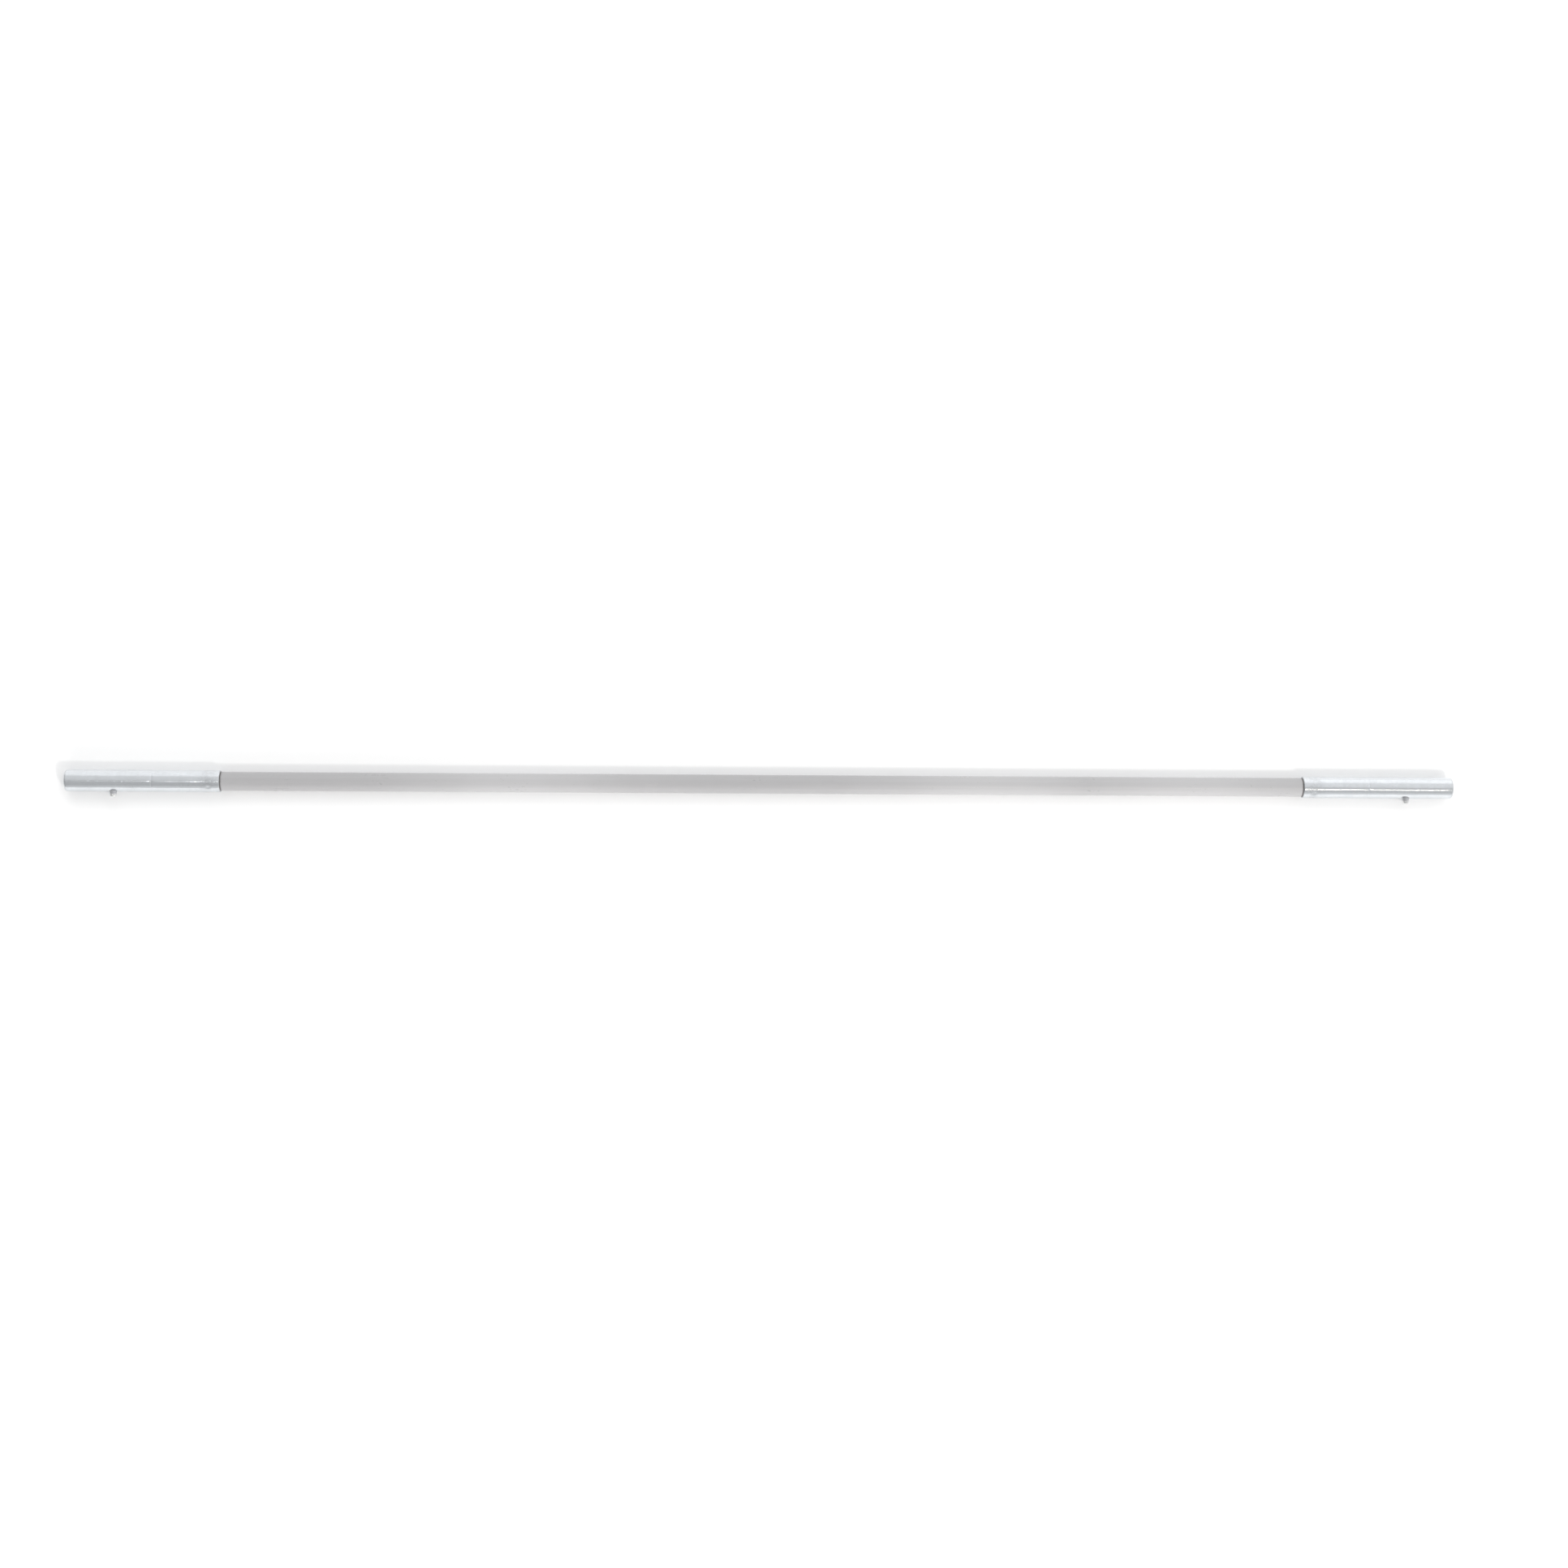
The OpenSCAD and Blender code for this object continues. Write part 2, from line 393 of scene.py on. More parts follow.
class Effect:
    """The node groups that the finishes share, each with named inputs and one named output."""

    _made: dict[str, bpy.types.NodeTree] = {}

    @classmethod
    def group(cls, name: str) -> bpy.types.NodeTree:
        """The group of that name, built the first time that it is asked for.

        Args:
            name: The group's name, without its underscore.

        Returns:
            The group's node tree.
        """
        if name not in cls._made:
            cls._made[name] = getattr(cls, "_" + name)()
        return cls._made[name]

    @classmethod
    def place(cls, graph: Graph, name: str, **inputs: Any) -> bpy.types.NodeSocket:
        """Places a group in a graph and gives its output.

        Args:
            graph: The graph that uses the effect.
            name: The group's name.
            **inputs: The group's inputs, with underscores for spaces.

        Returns:
            The group's only output.
        """
        made = graph.node("ShaderNodeGroup", node_tree=cls.group(name))
        for key, value in inputs.items():
            graph.feed(made.inputs[key.replace("_", " ").capitalize()], value)
        return made.outputs[0]

    @staticmethod
    def _started(name: str, numbers: dict[str, float], output: str) -> tuple[Graph, Any, Any]:
        """Starts a group with a Vector input, number inputs and one number output.

        Args:
            name: The group's name.
            numbers: Each number input's name and first value.
            output: The output's name.

        Returns:
            The group's graph, its input node and its output node.
        """
        tree = bpy.data.node_groups.new(name, "ShaderNodeTree")
        tree.interface.new_socket("Vector", in_out="INPUT", socket_type="NodeSocketVector")
        for key, value in numbers.items():
            socket = tree.interface.new_socket(key, in_out="INPUT", socket_type="NodeSocketFloat")
            socket.default_value = value
        tree.interface.new_socket(output, in_out="OUTPUT", socket_type="NodeSocketFloat")
        graph = Graph(tree)
        return graph, graph.node("NodeGroupInput"), graph.node("NodeGroupOutput")

    @classmethod
    def _scratches(cls) -> bpy.types.NodeTree:
        """Thin lines where a stretched noise crosses its middle value, broken up by a coarser noise.

        Returns:
            The group, whose mask is 1 on a scratch.
        """
        graph, given, result = cls._started(
            "scratches", {"Scale": 900.0, "Width": 0.02, "Amount": 0.5}, "Mask"
        )
        lines = graph.noise(given.outputs["Vector"], given.outputs["Scale"], detail=2.0, rough=0.4)
        away = graph.math("ABSOLUTE", graph.math("SUBTRACT", lines, 0.5))
        line = graph.ramp(away, 0.0, given.outputs["Width"], 1.0, 0.0)
        coarse = graph.math("MULTIPLY", given.outputs["Scale"], 0.23)
        patches = graph.noise(given.outputs["Vector"], coarse, detail=1.0, rough=0.5)
        threshold = graph.math("SUBTRACT", 1.0, given.outputs["Amount"])
        above = graph.math("ADD", threshold, 0.12)
        shown = graph.ramp(patches, threshold, above)
        graph.feed(result.inputs[0], graph.math("MULTIPLY", line, shown))
        return graph.tree

    @classmethod
    def _speckle(cls) -> bpy.types.NodeTree:
        """Scattered dots: near the middle of a cell, in the share of the cells that is asked for.

        Returns:
            The group, whose mask is 1 in the middle of a dot.
        """
        graph, given, result = cls._started(
            "speckle", {"Scale": 2500.0, "Size": 0.3, "Amount": 0.3}, "Mask"
        )
        cells = graph.node(
            "ShaderNodeTexVoronoi",
            {"Vector": given.outputs["Vector"], "Scale": given.outputs["Scale"], "Randomness": 1.0},
            feature="F1",
        )
        dot = graph.ramp(cells.outputs["Distance"], 0.0, given.outputs["Size"], 1.0, 0.0)
        pick = graph.node("ShaderNodeSeparateColor", {0: cells.outputs["Color"]}).outputs[0]
        shown = graph.math("LESS_THAN", pick, given.outputs["Amount"])
        graph.feed(result.inputs[0], graph.math("MULTIPLY", dot, shown))
        return graph.tree

    @classmethod
    def _mottle(cls) -> bpy.types.NodeTree:
        """Soft clouds of two sizes, pushed apart by the contrast that is asked for.

        Returns:
            The group, whose value is 0.5 on average.
        """
        graph, given, result = cls._started("mottle", {"Scale": 120.0, "Contrast": 2.0}, "Value")
        large = graph.noise(given.outputs["Vector"], given.outputs["Scale"], detail=4.0, rough=0.6)
        fine_scale = graph.math("MULTIPLY", given.outputs["Scale"], 7.3)
        fine = graph.noise(given.outputs["Vector"], fine_scale, detail=3.0, rough=0.6)
        both = graph.math("MULTIPLY_ADD", fine, 0.35, graph.math("MULTIPLY", large, 0.65))
        centred = graph.math("SUBTRACT", both, 0.5)
        pushed = graph.math("MULTIPLY_ADD", centred, given.outputs["Contrast"], 0.5, clamp=True)
        graph.feed(result.inputs[0], pushed)
        return graph.tree

    @classmethod
    def _end_band(cls) -> bpy.types.NodeTree:
        """A band round the pole, at the same distance from its middle on both ends, with a ragged edge.

        Returns:
            The group, whose mask is 1 in the middle of the band.
        """
        graph, given, result = cls._started(
            "end band", {"Place": 0.39, "Reach": 0.001, "Ragged": 0.3}, "Mask"
        )
        along = graph.node("ShaderNodeSeparateXYZ", {0: given.outputs["Vector"]}).outputs["X"]
        off = graph.math("SUBTRACT", graph.math("ABSOLUTE", along), given.outputs["Place"])
        away = graph.math("ABSOLUTE", off)
        ragged = graph.math("SUBTRACT", graph.noise(given.outputs["Vector"], 700.0), 0.5)
        share = graph.math("MULTIPLY", ragged, given.outputs["Ragged"])
        wobble = graph.math("MULTIPLY", share, given.outputs["Reach"])
        graph.feed(
            result.inputs[0],
            graph.ramp(graph.math("ADD", away, wobble), 0.0, given.outputs["Reach"], 1.0, 0.0),
        )
        return graph.tree


@dataclass(frozen=True)
class Finish:
    """What every finish has: a name, and a principled shader at the end of its graph."""

    name: str = "finish"

    def material(self) -> bpy.types.Material:
        """The finish as a Blender material, made the first time that it is asked for.

        Returns:
            The material, with its principled shader fed by the finish's own nodes.
        """
        if self.name in bpy.data.materials:
            return bpy.data.materials[self.name]
        made = bpy.data.materials.new(self.name)
        made.use_nodes = True
        made.node_tree.nodes.clear()
        graph = Graph(made.node_tree)
        shader = graph.node("ShaderNodeBsdfPrincipled")
        graph.node("ShaderNodeOutputMaterial", {"Surface": shader.outputs["BSDF"]})
        place = graph.node("ShaderNodeTexCoord").outputs["Object"]
        self.fill(graph, shader, place)
        return made

    def fill(self, graph: Graph, shader: bpy.types.Node, place: bpy.types.NodeSocket) -> None:
        """Builds the finish's own nodes; each finish has its own."""
        raise NotImplementedError

    @staticmethod
    def relief(graph: Graph, shader: bpy.types.Node, height: Any, distance: float) -> None:
        """Feeds the shader's normal from a height, where distance is the height's full depth in metres."""
        bump = graph.node("ShaderNodeBump", {"Height": height, "Distance": distance, "Strength": 1.0})
        graph.feed(shader.inputs["Normal"], bump.outputs["Normal"])


@dataclass(frozen=True)
class PlatedSteel(Finish):
    """Bright zinc plating: bluish, slightly cloudy, pricked with pits and crossed by fine scratches, with
    painted shade at the mouth.
    """

    name: str = "zinc plate"
    bright: tuple[float, float, float, float] = (0.785, 0.81, 0.835, 1.0)
    cloudy: tuple[float, float, float, float] = (0.68, 0.705, 0.73, 1.0)
    # dark tone of scratches, pits and scuffs, and of the painted shade at the mouth
    stain: tuple[float, float, float, float] = (0.30, 0.30, 0.31, 1.0)
    smooth: float = 0.09
    dull: float = 0.22
    mouth_at: float = 0.39
    scuff_at: float = 0.3985
    scuff_reach: float = 0.0075
    nose_at: float = 0.4995
    wave_depth: float = 34e-6
    cloud_share: float = 0.75
    worn_share: float = 0.34
    scuff_share: float = 0.3
    edge_share: float = 0.6
    worn_dulling: float = 0.2
    peel_share: float = 0.6
    scuff_relief: float = -0.8
    worn_relief: float = -0.12

    def fill(self, graph: Graph, shader: bpy.types.Node, place: bpy.types.NodeSocket) -> None:
        """Clouds and scratches set the colour and the gloss; pits, scratches and waves set the relief. A dark
        band of painted shade lies at the mouth.

        Args:
            graph: The finish's graph.
            shader: Its principled shader.
            place: The place on the piece, in metres.
        """
        lengthwise = graph.stretched(place, 0.12, 1.0)
        clouds = Effect.place(graph, "mottle", vector=place, scale=150.0, contrast=2.4)
        scratches = Effect.place(graph, "scratches", vector=lengthwise, scale=2600.0, width=0.03, amount=0.55)
        cross = graph.stretched(place, 6.0, 0.6)
        hoops = Effect.place(graph, "scratches", vector=cross, scale=900.0, width=0.04, amount=0.42)
        pits = Effect.place(graph, "speckle", vector=place, scale=1250.0, size=0.45, amount=0.24)
        # painted shade: a dark band at the mouth, where the ferrule meets the tube; the nose band darkens the
        # nose's rim
        mouth = Effect.place(graph, "end_band", vector=place, place=self.mouth_at, reach=0.0007, ragged=1.2)
        nose = Effect.place(graph, "end_band", vector=place, place=self.nose_at, reach=0.0016, ragged=0.9)
        punched = Effect.place(
            graph, "end_band", vector=place, place=self.scuff_at, reach=self.scuff_reach, ragged=1.6
        )
        blotches = Effect.place(graph, "mottle", vector=place, scale=260.0, contrast=5.0)
        scuffs = graph.math("MULTIPLY", graph.math("MULTIPLY", punched, blotches), 0.9)
        # the painted shade at the mouth, with the darkened nose rim
        edges = graph.math("MAXIMUM", mouth, graph.math("MULTIPLY", nose, 0.55))
        marks = graph.math("MAXIMUM", scratches, hoops)
        overlay_mask = graph.math("MAXIMUM", marks, pits)
        plate = graph.mix(graph.math("MULTIPLY", clouds, self.cloud_share), self.bright, self.cloudy)
        marked = graph.mix(graph.math("MULTIPLY", overlay_mask, self.worn_share), plate, self.stain)
        scuffed = graph.mix(graph.math("MULTIPLY", scuffs, self.scuff_share), marked, self.stain)
        edged = graph.mix(graph.math("MULTIPLY", edges, self.edge_share), scuffed, self.stain)
        graph.feed(shader.inputs["Base Color"], edged)
        gloss = graph.ramp(clouds, 0.25, 0.85, self.smooth, self.dull)
        rubbed = graph.math("MULTIPLY_ADD", scuffs, self.worn_dulling, gloss)
        dulled = graph.math("MULTIPLY_ADD", overlay_mask, self.worn_dulling, rubbed, clamp=True)
        graph.feed(shader.inputs["Roughness"], dulled)
        shader.inputs["Metallic"].default_value = 1.0
        waves = graph.noise(graph.stretched(place, 0.5, 1.0), 420.0, detail=2.0, rough=0.5)
        peel = graph.noise(graph.stretched(place, 0.8, 1.0), 1900.0, detail=2.0, rough=0.5)
        rest = graph.math("MULTIPLY", waves, 1 - self.peel_share)
        swell = graph.math("MULTIPLY_ADD", peel, self.peel_share, rest)
        bruised = graph.math("MULTIPLY_ADD", scuffs, self.scuff_relief, swell)
        height = graph.math("MULTIPLY_ADD", overlay_mask, self.worn_relief, bruised)
        self.relief(graph, shader, height, self.wave_depth)


@dataclass(frozen=True)
class NickelPlate(Finish):
    """The button's harder plating: darker, with turning marks round its own axis and a bright tip, from rub
    wear and a painted highlight.
    """

    name: str = "button plate"
    plate: tuple[float, float, float, float] = (0.57, 0.58, 0.60, 1.0)
    # near-white tip colour: rub wear and a painted highlight
    rubbed: tuple[float, float, float, float] = (0.93, 0.93, 0.92, 1.0)
    stain: tuple[float, float, float, float] = (0.28, 0.27, 0.27, 1.0)
    smooth: float = 0.12
    dull: float = 0.3
    top_at: float = 0.0126
    rub_reach: float = 0.0036
    rub_full: float = 0.6
    groove_depth: float = 5e-6
    cloud_share: float = 0.3
    tip_share: float = 0.8
    scratch_dulling: float = 0.25
    scratch_relief: float = -0.5

    def fill(self, graph: Graph, shader: bpy.types.Node, place: bpy.types.NodeSocket) -> None:
        """Turning marks are a noise that is stretched round the axis, and the tip is painted bright: rub wear
        and a painted highlight.

        Args:
            graph: The finish's graph.
            shader: Its principled shader.
            place: The place on the piece, in metres.
        """
        turning = graph.node("ShaderNodeMapping", {"Vector": place, "Scale": (0.15, 6.0, 0.15)}).outputs[0]
        marks = graph.noise(turning, 1400.0, detail=3.0, rough=0.6)
        clouds = Effect.place(graph, "mottle", vector=place, scale=500.0, contrast=2.0)
        scratches = Effect.place(graph, "scratches", vector=place, scale=2200.0, width=0.03, amount=0.5)
        height = graph.node("ShaderNodeSeparateXYZ", {0: place}).outputs["Y"]
        # the tip, which faces the light, is painted brighter along the button's axis: rub wear and a painted
        # highlight
        bright_to, plain_from = self.rub_full * self.rub_reach - self.top_at, self.rub_reach - self.top_at
        tip = graph.ramp(height, bright_to, plain_from, 1.0, 0.0)
        base = graph.mix(graph.math("MULTIPLY", clouds, self.cloud_share), self.plate, self.stain)
        tipped = graph.mix(graph.math("MULTIPLY", tip, self.tip_share), base, self.rubbed)
        graph.feed(shader.inputs["Base Color"], tipped)
        gloss = graph.ramp(clouds, 0.2, 0.9, self.smooth, self.dull)
        dulled = graph.math("MULTIPLY_ADD", scratches, self.scratch_dulling, gloss)
        graph.feed(shader.inputs["Roughness"], dulled)
        shader.inputs["Metallic"].default_value = 1.0
        cut = graph.math("MULTIPLY_ADD", scratches, self.scratch_relief, marks)
        self.relief(graph, shader, cut, self.groove_depth)


@dataclass(frozen=True)
class SatinCoat(Finish):
    """The tube's grey coat: drawn lengthwise, cloudy, paler in places under painted pools of light, with a
    near-black line of painted shade at each ferrule.
    """

    name: str = "satin coat"
    body: tuple[float, float, float, float] = (0.42, 0.415, 0.42, 1.0)
    shade: tuple[float, float, float, float] = (0.37, 0.365, 0.37, 1.0)
    # pale colour of rubbed streaks, also painted where the pools of light fall
    rub: tuple[float, float, float, float] = (0.52, 0.515, 0.52, 1.0)
    # near-black: the colour of dirt specks, and of the painted shade at each ferrule's mouth
    dirt: tuple[float, float, float, float] = (0.07, 0.065, 0.06, 1.0)
    smooth: float = 0.26
    dull: float = 0.4
    flake: float = 0.12
    # places along the tube (middle, reach) where painted pools of light make the coat paler
    held: tuple[tuple[float, float], ...] = ((-0.18, 0.13), (0.16, 0.12), (0.31, 0.13))
    held_share: float = 0.62
    drift: float = 0.05
    mouth_at: float = 0.39
    streak_depth: float = 6e-6
    rub_share: float = 0.3
    speck_share: float = 0.5
    # share of the near-black painted shade at the ferrule mouths
    mouth_share: float = 0.92
    rub_dulling: float = 0.12
    rub_relief: float = -0.2
    fine_share: float = 0.25

    def fill(self, graph: Graph, shader: bpy.types.Node, place: bpy.types.NodeSocket) -> None:
        """Lengthwise streaks and clouds set the colour, the gloss and a shallow relief.

        Args:
            graph: The finish's graph.
            shader: Its principled shader.
            place: The place on the piece, in metres.
        """
        drawn = graph.stretched(place, 0.02, 1.0)
        streaks = graph.noise(drawn, 900.0, detail=4.0, rough=0.65)
        clouds = Effect.place(graph, "mottle", vector=place, scale=45.0, contrast=1.8)
        fine = graph.noise(place, 3500.0, detail=2.0, rough=0.5)
        rubbed_along = graph.stretched(place, 0.06, 1.0)
        rubs = Effect.place(
            graph, "scratches", vector=rubbed_along, scale=1500.0, width=0.025, amount=0.45
        )
        specks = Effect.place(graph, "speckle", vector=place, scale=420.0, size=0.12, amount=0.05)
        # painted shade: a near-black band on the coat at each ferrule's mouth, where the ferrule's edge
        # shades the tube
        mouth = Effect.place(
            graph, "end_band", vector=place, place=self.mouth_at, reach=0.0015, ragged=0.5
        )
        uneven = graph.math("MULTIPLY_ADD", streaks, 0.5, graph.math("MULTIPLY", clouds, 0.5))
        coat = graph.mix(uneven, self.shade, self.body)
        # painted pools of light: the coat is made paler round each listed place along the tube
        overlay_mask = graph.math("MULTIPLY", self.paleness(graph, place), self.held_share)
        pale = graph.mix(overlay_mask, coat, self.rub)
        rubbed = graph.mix(graph.math("MULTIPLY", rubs, self.rub_share), pale, self.rub)
        specked = graph.mix(graph.math("MULTIPLY", specks, self.speck_share), rubbed, self.dirt)
        # paints the shade at the ferrule mouths in near-black
        edged = graph.mix(graph.math("MULTIPLY", mouth, self.mouth_share), specked, self.dirt)
        graph.feed(shader.inputs["Base Color"], edged)
        gloss = graph.ramp(uneven, 0.25, 0.75, self.smooth, self.dull)
        dulled = graph.math("MULTIPLY_ADD", rubs, self.rub_dulling, gloss, clamp=True)
        graph.feed(shader.inputs["Roughness"], dulled)
        shader.inputs["Metallic"].default_value = self.flake
        drawn_share = graph.math("MULTIPLY", streaks, 1 - self.fine_share)
        grain = graph.math("MULTIPLY_ADD", fine, self.fine_share, drawn_share)
        height = graph.math("MULTIPLY_ADD", rubs, self.rub_relief, grain)
        self.relief(graph, shader, height, self.streak_depth)

    def paleness(self, graph: Graph, place: bpy.types.NodeSocket) -> bpy.types.NodeSocket:
        """How pale the coat is: painted pools of light, each a soft swell round a place, given as its middle
        and its reach.

        A noise shifts the place along the tube by up to the drift, so half of the drift, which is its
        mean, is added to each middle.

        Args:
            graph: The finish's graph.
            place: The place on the piece, in metres.

        Returns:
            The paleness, from 0 to 1.
        """
        along = graph.node("ShaderNodeSeparateXYZ", {0: place}).outputs["X"]
        shifted = graph.math("MULTIPLY_ADD", graph.noise(place, 24.0), self.drift, along)
        total: Any = 0.0
        for middle, reach in self.held:
            away = graph.math("ABSOLUTE", graph.math("SUBTRACT", shifted, middle + self.drift / 2))
            total = graph.math("MAXIMUM", total, graph.ramp(away, 0.0, reach, 1.0, 0.0))
        return total


@dataclass(frozen=True)
class SpringSteel(Finish):
    """Blued strip steel, with rolling lines along the strip and brighter, rubbed spots."""

    name: str = "spring steel"
    blued: tuple[float, float, float, float] = (0.26, 0.27, 0.30, 1.0)
    bare: tuple[float, float, float, float] = (0.50, 0.51, 0.53, 1.0)
    smooth: float = 0.24
    dull: float = 0.42
    line_depth: float = 4e-6
    cloud_share: float = 0.5
    scratch_share: float = 0.6

    def fill(self, graph: Graph, shader: bpy.types.Node, place: bpy.types.NodeSocket) -> None:
        """Rolling lines and clouds set the colour, the gloss and the relief.

        Args:
            graph: The finish's graph.
            shader: Its principled shader.
            place: The place on the piece, in metres.
        """
        rolled = graph.stretched(place, 0.04, 1.0)
        lines = graph.noise(rolled, 2600.0, detail=3.0, rough=0.6)
        clouds = Effect.place(graph, "mottle", vector=place, scale=260.0, contrast=2.2)
        scratches = Effect.place(graph, "scratches", vector=rolled, scale=3000.0, width=0.03, amount=0.5)
        base = graph.mix(graph.math("MULTIPLY", clouds, self.cloud_share), self.blued, self.bare)
        scratched = graph.mix(graph.math("MULTIPLY", scratches, self.scratch_share), base, self.bare)
        graph.feed(shader.inputs["Base Color"], scratched)
        graph.feed(shader.inputs["Roughness"], graph.ramp(clouds, 0.2, 0.8, self.dull, self.smooth))
        shader.inputs["Metallic"].default_value = 1.0
        self.relief(graph, shader, lines, self.line_depth)


@dataclass(frozen=True)
class MouldedNylon(Finish):
    """The dowel's natural nylon: creamy, a little cloudy, with turning marks and dust."""

    name: str = "moulded nylon"
    body: tuple[float, float, float, float] = (0.72, 0.69, 0.61, 1.0)
    shade: tuple[float, float, float, float] = (0.60, 0.57, 0.49, 1.0)
    dust: tuple[float, float, float, float] = (0.42, 0.40, 0.37, 1.0)
    smooth: float = 0.42
    dull: float = 0.6
    mark_depth: float = 8e-6
    dust_share: float = 0.6

    def fill(self, graph: Graph, shader: bpy.types.Node, place: bpy.types.NodeSocket) -> None:
        """Clouds set the colour, dots of dust lie over it, and turning marks set the relief.

        Args:
            graph: The finish's graph.
            shader: Its principled shader.
            place: The place on the piece, in metres.
        """
        clouds = Effect.place(graph, "mottle", vector=place, scale=200.0, contrast=2.0)
        dust = Effect.place(graph, "speckle", vector=place, scale=1300.0, size=0.3, amount=0.25)
        marks = graph.noise(graph.stretched(place, 5.0, 0.4), 700.0, detail=2.0, rough=0.5)
        coat = graph.mix(clouds, self.body, self.shade)
        dusty = graph.mix(graph.math("MULTIPLY", dust, self.dust_share), coat, self.dust)
        graph.feed(shader.inputs["Base Color"], dusty)
        graph.feed(shader.inputs["Roughness"], graph.ramp(clouds, 0.2, 0.8, self.smooth, self.dull))
        self.relief(graph, shader, marks, self.mark_depth)


@dataclass(frozen=True)
class PaleFloor(Finish):
    """A plain white work surface, with the faintest unevenness, which fades into the backdrop far away."""

    name: str = "pale floor"
    body: tuple[float, float, float, float] = (0.95, 0.95, 0.95, 1.0)
    shade: tuple[float, float, float, float] = (0.935, 0.935, 0.935, 1.0)
    fade_from: float = 1.0
    fade_to: float = 2.6
    matt: float = 0.9
    shine: float = 0.1

    def fill(self, graph: Graph, shader: bpy.types.Node, place: bpy.types.NodeSocket) -> None:
        """A matt white with soft clouds, solid near the object and clear beyond the end of the fade.

        Args:
            graph: The finish's graph.
            shader: Its principled shader.
            place: The place on the piece, in metres.
        """
        clouds = Effect.place(graph, "mottle", vector=place, scale=2.0, contrast=1.5)
        graph.feed(shader.inputs["Base Color"], graph.mix(clouds, self.body, self.shade))
        away = graph.node("ShaderNodeVectorMath", {0: place}, operation="LENGTH").outputs["Value"]
        graph.feed(shader.inputs["Alpha"], graph.ramp(away, self.fade_from, self.fade_to, 1.0, 0.0))
        shader.inputs["Roughness"].default_value = self.matt
        shader.inputs["Specular IOR Level"].default_value = self.shine


# ---------------------------------------------------------------------------------------------
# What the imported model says
# ---------------------------------------------------------------------------------------------


def mount(name: str) -> dict[str, Any]:
    """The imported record's mount of that name."""
    return next(m for m in frame["record"]["mounts"] if m["name"] == name)


def child_body(word: str) -> str:
    """The body of that end's button: the child of its press joint."""
    return next(j["child"] for j in frame["joints"] if j["name"] == f"{word}_button_press")


def root_body() -> str:
    """The body that the press joints start from."""
    return frame["joints"][0]["parent"]


@dataclass
class Piece:
    """A piece of the object: it knows its node, finish, slot and body, and makes its own surface."""

    node: str
    finish: Finish
    slot: str
    body: str
    crease_deg: float = 38.0

    def surface(self) -> Sheet:
        """The piece's closed surface; each kind of piece has its own."""
        raise NotImplementedError

    def build(self) -> bpy.types.Object:
        """Makes the piece's object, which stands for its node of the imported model.

        Returns:
            The object, at the origin.
        """
        made = made_object(f"{self.node}_made", self.surface(), self.crease_deg)
        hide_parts(self.node)
        return made

    def dress(self, made: bpy.types.Object) -> None:
        """Gives the object the piece's finish."""
        made.data.materials.append(self.finish.material())

    def seat(self, made: bpy.types.Object) -> None:
        """Makes the object move with the piece's body."""
        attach(made, self.body)
        LOG.info("%s rides on %s", made.name, self.body)

    def add(self) -> None:
        """Builds, dresses and seats the piece."""
        made = self.build()
        self.dress(made)
        self.seat(made)
        LOG.info("%s wears %s", made.name, self.finish.name)


# ---------------------------------------------------------------------------------------------
# The pole's pieces
# ---------------------------------------------------------------------------------------------


@dataclass(frozen=True)
class Groove:
    """A rolled ring: its distance from the pole's end, its depth, and half its width."""

    from_end: float
    depth: float
    reach: float


@dataclass(frozen=True)
class Dents:
    """Punched dents round a ferrule: their distance from the pole's end, number, depth and reach."""

    from_end: float = 102 * MM
    number: int = 4
    depth: float = 0.32 * MM
    reach: float = 2.7 * MM

    def depth_at(self, along: np.ndarray, turn: np.ndarray, radius: float) -> np.ndarray:
        """How deep the wall is punched in at each place.

        The wall sinks by the depth times a raised cosine of the distance to the nearest dent, measured
        along the wall. The dents straddle the button's side, so the first is half a step round from it.

        Args:
            along: Distance from the dents' ring, along the pole.
            turn: Angle round the pole from the button's side, in radians.
            radius: The wall's radius.

        Returns:
            The depth, as an array of the two arrays' common shape.
        """
        step = 2 * np.pi / self.number
        off_centre = np.mod(turn, step) - step / 2
        return self.depth * smooth_bump(np.hypot(along, radius * off_centre), self.reach)


